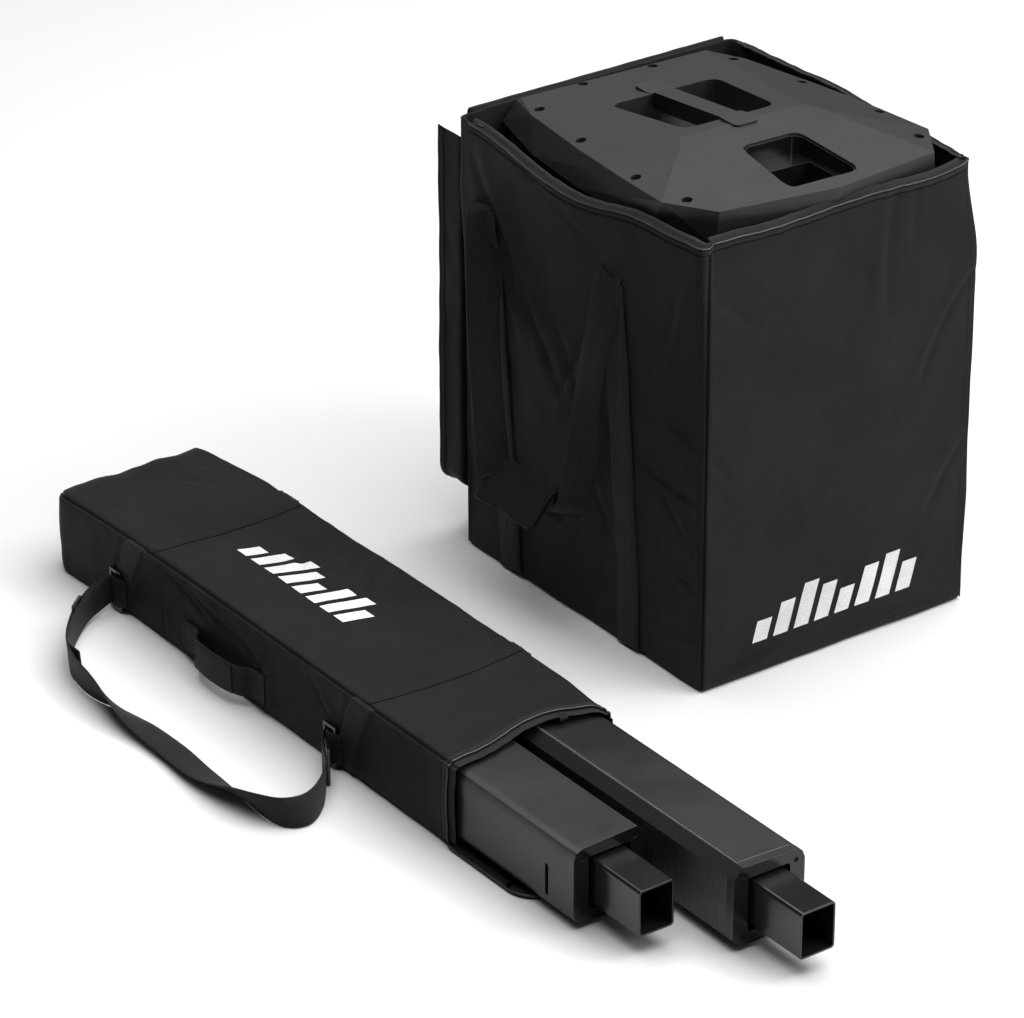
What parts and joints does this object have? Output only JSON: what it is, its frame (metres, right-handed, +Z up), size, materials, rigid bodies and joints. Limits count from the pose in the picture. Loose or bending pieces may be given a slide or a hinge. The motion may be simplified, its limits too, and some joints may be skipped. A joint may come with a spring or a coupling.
{
  "type": "column pa system",
  "caption": "Active subwoofer standing in its open zip bag with the lid hanging behind, beside a long carry bag with column loudspeakers half out of its mouth.",
  "frame": {"origin": "middle of the subwoofer bag's base, on the floor", "axes": "+Z up, -Y towards the subwoofer's front and the long bag's mouth, +X to the right seen from the front"},
  "size_m": [1.0187, 1.229, 0.59],
  "materials": {
    "oxford_cloth": "woven, matte",
    "webbing": "ribbed webbing",
    "zip": "satin",
    "black_abs": "fine grain",
    "gloss_black": "gloss",
    "painted_grille": "satin black",
    "column_shell": "black anodised",
    "dark_steel": "blackened",
    "board_wood": "raw board",
    "cabinet_wood": "black paint",
    "rubber": "matte",
    "contacts": "plated",
    "circuit_board": "lacquered",
    "transformer": "varnished copper wire",
    "magnet": "ferrite",
    "cone_paper": "coated paper"
  },
  "bodies": {
    "sub_bag": {"sub_bag_shell": "oxford_cloth", "sub_bag_base_board": "board_wood", "sub_bag_rim_zip": "zip", "sub_bag_webbing": "webbing"},
    "lid": {"sub_bag_lid": "oxford_cloth", "sub_bag_lid_zip": "zip"},
    "zip_slider_left": {"sub_bag_zip_slider_left": "dark_steel"},
    "zip_slider_right": {"sub_bag_zip_slider_right": "dark_steel"},
    "handle_left": {"carry_handle_left": "webbing", "carry_grip_left": "oxford_cloth"},
    "handle_right": {"carry_handle_right": "webbing", "carry_grip_right": "oxford_cloth"},
    "subwoofer": {"sub_cabinet": "cabinet_wood", "sub_top_shell": "black_abs", "sub_handle_bar": "black_abs", "sub_column_socket": "gloss_black", "sub_socket_contacts": "contacts", "sub_top_screws": "dark_steel", "sub_grille": "painted_grille", "sub_woofer_frame": "dark_steel", "sub_woofer_magnet": "magnet", "sub_port_tube": "black_abs", "sub_feet": "rubber", "sub_amp_panel": "painted_grille", "sub_amp_board": "circuit_board", "sub_amp_transformer": "transformer", "sub_amp_inlets": "gloss_black", "sub_amp_screws": "dark_steel"},
    "woofer_cone": {"sub_woofer_cone": "cone_paper"},
    "power_switch": {"sub_power_switch": "gloss_black"},
    "level_knob": {"sub_level_knob": "black_abs"},
    "bass_knob": {"sub_bass_knob": "black_abs"},
    "mode_button": {"sub_mode_button": "dark_steel"},
    "long_bag": {"long_bag_shell": "oxford_cloth", "long_bag_flap": "oxford_cloth", "long_bag_rim_zip": "zip", "long_bag_bands": "webbing", "long_bag_grab_handle": "webbing", "shoulder_strap": "webbing", "strap_rings": "gloss_black", "strap_adjuster": "gloss_black"},
    "long_bag_slider": {"long_bag_zip_slider": "dark_steel"},
    "riser": {"riser_shell": "column_shell", "riser_front_panel": "painted_grille", "riser_end_cap": "black_abs", "riser_socket_cap": "black_abs", "riser_spigot": "gloss_black", "riser_screws": "dark_steel"},
    "speaker": {"speaker_shell": "column_shell", "speaker_grille": "painted_grille", "speaker_baffle": "cabinet_wood", "speaker_end_cap": "black_abs", "speaker_top_cap": "black_abs", "speaker_spigot": "gloss_black", "speaker_screws": "dark_steel", "speaker_driver_1": "dark_steel", "speaker_driver_2": "dark_steel", "speaker_driver_3": "dark_steel", "speaker_driver_4": "dark_steel"}
  },
  "joints": [
    {"name": "lid_hinge", "type": "hinge", "parent": "sub_bag", "child": "lid", "pos_m": [0, 0.268, 0.564], "axis": [-1, 0, 0], "range_deg": [-270, 0]},
    {"name": "zip_left", "type": "slide", "parent": "sub_bag", "child": "zip_slider_left", "axis": [0, -1, 0], "range_m": [0, 0.375]},
    {"name": "zip_right", "type": "slide", "parent": "sub_bag", "child": "zip_slider_right", "axis": [0, -1, 0], "range_m": [0, 0.375]},
    {"name": "handle_left_swing", "type": "hinge", "parent": "sub_bag", "child": "handle_left", "pos_m": [-0.202, 0, 0.452], "axis": [0, 1, 0], "range_deg": [0, 165]},
    {"name": "handle_right_swing", "type": "hinge", "parent": "sub_bag", "child": "handle_right", "pos_m": [0.202, 0, 0.452], "axis": [0, -1, 0], "range_deg": [0, 165]},
    {"name": "sub_lift", "type": "slide", "parent": "sub_bag", "child": "subwoofer", "axis": [0, 0, 1], "range_m": [0, 0.58]},
    {"name": "cone_travel", "type": "slide", "parent": "subwoofer", "child": "woofer_cone", "axis": [0.0436, 0.999, 0], "range_m": [-0.005, 0.005], "stiffness_N_per_m": 3000},
    {"name": "power_rocker", "type": "hinge", "parent": "subwoofer", "child": "power_switch", "pos_m": [0.08639, 0.19041, 0.23], "axis": [0.999, -0.0436, 0], "range_deg": [-8, 8]},
    {"name": "level_turn", "type": "hinge", "parent": "subwoofer", "child": "level_knob", "pos_m": [-0.03146, 0.19656, 0.363], "axis": [0.0436, 0.999, 0], "range_deg": [-150, 150]},
    {"name": "bass_turn", "type": "hinge", "parent": "subwoofer", "child": "bass_knob", "pos_m": [0.00851, 0.19481, 0.363], "axis": [0.0436, 0.999, 0], "range_deg": [-150, 150]},
    {"name": "mode_press", "type": "slide", "parent": "subwoofer", "child": "mode_button", "axis": [0.0436, 0.999, 0], "range_m": [-0.002, 0], "stiffness_N_per_m": 200, "springref_m": 0.001},
    {"name": "long_bag_shift", "type": "slide", "parent": "sub_bag", "child": "long_bag", "axis": [-1, 0, 0], "range_m": [0, 0.3]},
    {"name": "long_bag_zip", "type": "slide", "parent": "long_bag", "child": "long_bag_slider", "axis": [-1, 0, 0], "range_m": [0, 0.11]},
    {"name": "riser_slide", "type": "slide", "parent": "long_bag", "child": "riser", "axis": [0, 1, 0], "range_m": [-0.35, 0.285]},
    {"name": "speaker_slide", "type": "slide", "parent": "long_bag", "child": "speaker", "axis": [0, 1, 0], "range_m": [-0.25, 0.415]}
  ]
}
